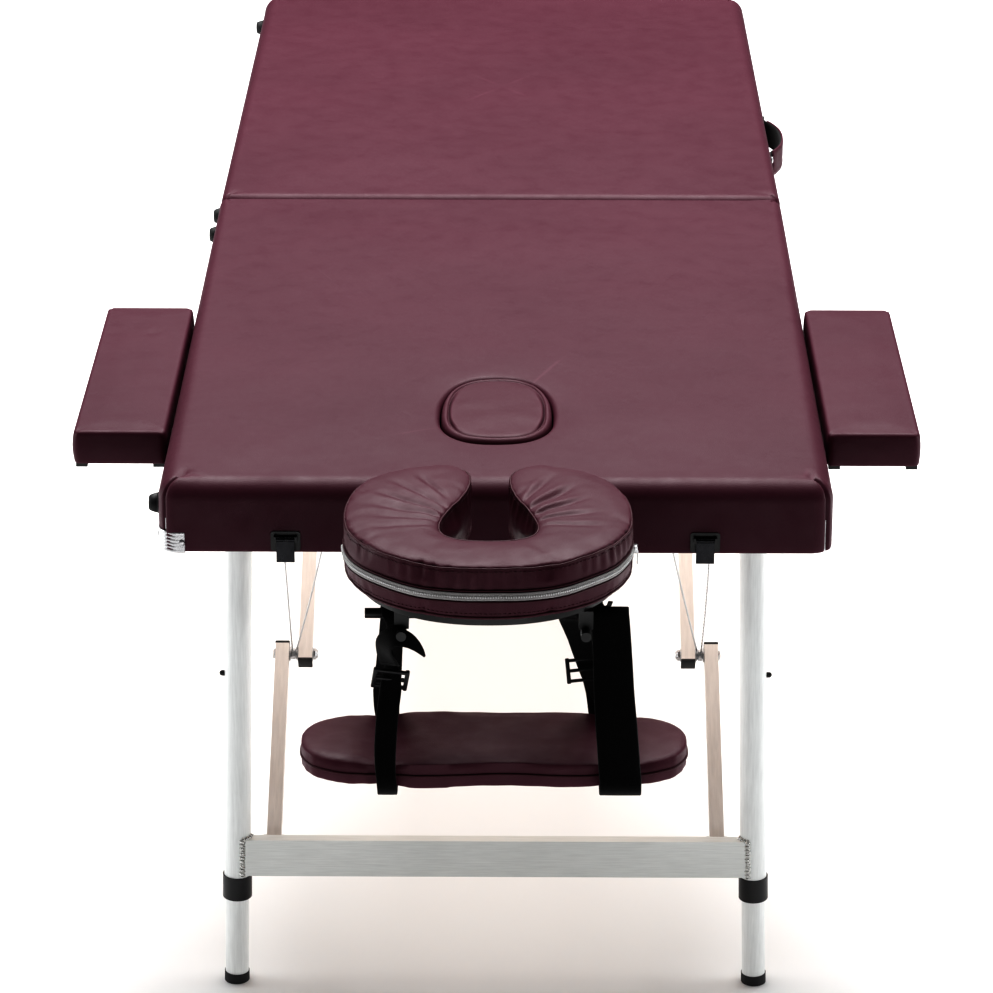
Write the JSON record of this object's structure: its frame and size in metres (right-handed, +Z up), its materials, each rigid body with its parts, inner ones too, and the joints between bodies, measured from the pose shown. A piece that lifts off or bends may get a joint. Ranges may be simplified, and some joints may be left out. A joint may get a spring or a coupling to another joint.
{
  "type": "massage table",
  "caption": "Portable massage table: two padded sections on folding aluminium legs with braces and stay cables, with face cradle, arm sling, side armrests and a face-hole plug.",
  "frame": {"origin": "on the floor, under the middle of the whole table's box, face cradle and armrests included", "axes": "+X across the table to the right seen from the head end, +Y along the table from the head end to the foot end, +Z up"},
  "size_m": [0.886, 2.1514, 0.63],
  "materials": {
    "vinyl": "soft satin",
    "board": "satin",
    "rail": "satin",
    "tube": "satin",
    "bar": "brushed",
    "brace": "satin",
    "steel": "brushed",
    "cable": "satin",
    "black_plastic": "matt",
    "rubber": "matt",
    "webbing": "matt",
    "black_metal": "satin"
  },
  "bodies": {
    "head_section": {"head_cushion": "vinyl", "head_deck": "board", "head_frame": "rail", "head_corner_guard": "steel", "head_side_bumpers": "rubber", "latch_bases": "black_metal", "head_hinge_leaves": "steel", "seam_hinge_pins": "steel", "head_pivot_brackets": "steel", "socket_bushes": "steel", "head_stay_cables": "cable"},
    "foot_section": {"foot_cushion": "vinyl", "foot_deck": "board", "foot_frame": "rail", "foot_corner_guard": "steel", "foot_side_bumpers": "rubber", "latch_keepers": "black_metal", "foot_hinge_leaves": "steel", "foot_pivot_brackets": "steel", "carry_handle": "vinyl", "handle_plates": "black_metal", "foot_stay_cables": "cable"},
    "face_plug": {"face_hole_plug": "vinyl"},
    "hasp_left": {"latch_hasp_left": "steel"},
    "hasp_right": {"latch_hasp_right": "steel"},
    "cradle_base": {"cradle_posts": "black_metal"},
    "cradle_top": {"cradle_plate": "board", "face_cushion": "vinyl"},
    "arm_sling": {"sling_pad": "vinyl", "sling_strap_left": "webbing", "sling_strap_right": "webbing", "sling_buckles": "black_plastic"},
    "left_armrest": {"left_armrest_pad": "vinyl", "left_armrest_bracket": "black_metal"},
    "right_armrest": {"right_armrest_pad": "vinyl", "right_armrest_bracket": "black_metal"},
    "head_legs": {"head_leg_tubes": "tube", "head_crossbar": "bar", "head_leg_collars": "black_plastic"},
    "head_lower_links": {"head_lower_braces": "brace"},
    "head_upper_links": {"head_upper_braces": "brace", "head_pivot_bolts": "steel"},
    "head_left_extension": {"head_left_lower_leg": "tube", "head_left_foot": "rubber"},
    "head_left_button": {"head_left_leg_button": "steel"},
    "head_right_extension": {"head_right_lower_leg": "tube", "head_right_foot": "rubber"},
    "head_right_button": {"head_right_leg_button": "steel"},
    "foot_legs": {"foot_leg_tubes": "tube", "foot_crossbar": "bar", "foot_leg_collars": "black_plastic"},
    "foot_lower_links": {"foot_lower_braces": "brace"},
    "foot_upper_links": {"foot_upper_braces": "brace", "foot_pivot_bolts": "steel"},
    "foot_left_extension": {"foot_left_lower_leg": "tube", "foot_left_foot": "rubber"},
    "foot_left_button": {"foot_left_leg_button": "steel"},
    "foot_right_extension": {"foot_right_lower_leg": "tube", "foot_right_foot": "rubber"},
    "foot_right_button": {"foot_right_leg_button": "steel"}
  },
  "joints": [
    {"name": "table_fold", "type": "hinge", "parent": "head_section", "child": "foot_section", "pos_m": [0, 0.14755, 0.5195], "axis": [-1, 0, 0], "range_deg": [0, 180], "deforming": ["head_stay_cables", "foot_stay_cables"]},
    {"name": "face_plug_lift", "type": "slide", "parent": "head_section", "child": "face_plug", "axis": [0, 0, 1], "range_m": [0, 0.06]},
    {"name": "hasp_left_swing", "type": "hinge", "parent": "head_section", "child": "hasp_left", "pos_m": [-0.2115, -0.78785, 0.539], "axis": [-1, 0, 0], "range_deg": [0, 150]},
    {"name": "hasp_right_swing", "type": "hinge", "parent": "head_section", "child": "hasp_right", "pos_m": [0.2115, -0.78785, 0.539], "axis": [-1, 0, 0], "range_deg": [0, 150]},
    {"name": "cradle_slide", "type": "slide", "parent": "head_section", "child": "cradle_base", "axis": [0, -1, 0], "range_m": [0, 0.11]},
    {"name": "cradle_tilt", "type": "hinge", "parent": "cradle_base", "child": "cradle_top", "pos_m": [0, -0.81645, 0.556], "axis": [-1, 0, 0], "range_deg": [0, 15]},
    {"name": "sling_swing", "type": "hinge", "parent": "cradle_base", "child": "arm_sling", "pos_m": [0, -0.97445, 0.541], "axis": [1, 0, 0], "range_deg": [-30, 30]},
    {"name": "left_armrest_slide", "type": "slide", "parent": "head_section", "child": "left_armrest", "axis": [-1, 0, 0], "range_m": [0, 0.06]},
    {"name": "right_armrest_slide", "type": "slide", "parent": "head_section", "child": "right_armrest", "axis": [1, 0, 0], "range_m": [0, 0.06]},
    {"name": "head_leg_fold", "type": "hinge", "parent": "head_section", "child": "head_legs", "pos_m": [0, -0.72175, 0.54], "axis": [1, 0, 0], "range_deg": [0, 90]},
    {"name": "head_lower_brace_fold", "type": "hinge", "parent": "head_legs", "child": "head_lower_links", "pos_m": [0, -0.71395, 0.16], "axis": [1, 0, 0], "range_deg": [0, 61.07]},
    {"name": "head_upper_brace_fold", "type": "hinge", "parent": "head_section", "child": "head_upper_links", "pos_m": [0, -0.08245, 0.546], "axis": [-1, 0, 0], "range_deg": [0, 31.7]},
    {"name": "head_left_leg_slide", "type": "slide", "parent": "head_legs", "child": "head_left_extension", "axis": [-0.0257, 0, -0.9997], "range_m": [-0.08, 0.2]},
    {"name": "head_left_button_press", "type": "slide", "parent": "head_legs", "child": "head_left_button", "axis": [0.9997, 0, -0.0257], "range_m": [0, 0.0045], "stiffness_N_per_m": 600},
    {"name": "head_right_leg_slide", "type": "slide", "parent": "head_legs", "child": "head_right_extension", "axis": [0.0257, 0, -0.9997], "range_m": [-0.08, 0.2]},
    {"name": "head_right_button_press", "type": "slide", "parent": "head_legs", "child": "head_right_button", "axis": [-0.9997, 0, -0.0257], "range_m": [0, 0.0045], "stiffness_N_per_m": 600},
    {"name": "foot_leg_fold", "type": "hinge", "parent": "foot_section", "child": "foot_legs", "pos_m": [0, 1.01685, 0.54], "axis": [-1, 0, 0], "range_deg": [0, 90]},
    {"name": "foot_lower_brace_fold", "type": "hinge", "parent": "foot_legs", "child": "foot_lower_links", "pos_m": [0, 1.00905, 0.16], "axis": [-1, 0, 0], "range_deg": [0, 61.07]},
    {"name": "foot_upper_brace_fold", "type": "hinge", "parent": "foot_section", "child": "foot_upper_links", "pos_m": [0, 0.37755, 0.546], "axis": [1, 0, 0], "range_deg": [0, 31.7]},
    {"name": "foot_left_leg_slide", "type": "slide", "parent": "foot_legs", "child": "foot_left_extension", "axis": [-0.0257, 0, -0.9997], "range_m": [-0.08, 0.2]},
    {"name": "foot_left_button_press", "type": "slide", "parent": "foot_legs", "child": "foot_left_button", "axis": [0.9997, 0, -0.0257], "range_m": [0, 0.0045], "stiffness_N_per_m": 600},
    {"name": "foot_right_leg_slide", "type": "slide", "parent": "foot_legs", "child": "foot_right_extension", "axis": [0.0257, 0, -0.9997], "range_m": [-0.08, 0.2]},
    {"name": "foot_right_button_press", "type": "slide", "parent": "foot_legs", "child": "foot_right_button", "axis": [-0.9997, 0, -0.0257], "range_m": [0, 0.0045], "stiffness_N_per_m": 600}
  ],
  "couplings": [
    {"joint": "head_leg_fold", "follows": "table_fold", "ratio": 0.5},
    {"joint": "head_lower_brace_fold", "follows": "table_fold", "ratio": 0.33925},
    {"joint": "head_upper_brace_fold", "follows": "table_fold", "ratio": 0.17603},
    {"joint": "foot_leg_fold", "follows": "table_fold", "ratio": 0.5},
    {"joint": "foot_lower_brace_fold", "follows": "table_fold", "ratio": 0.33925},
    {"joint": "foot_upper_brace_fold", "follows": "table_fold", "ratio": 0.17603}
  ]
}
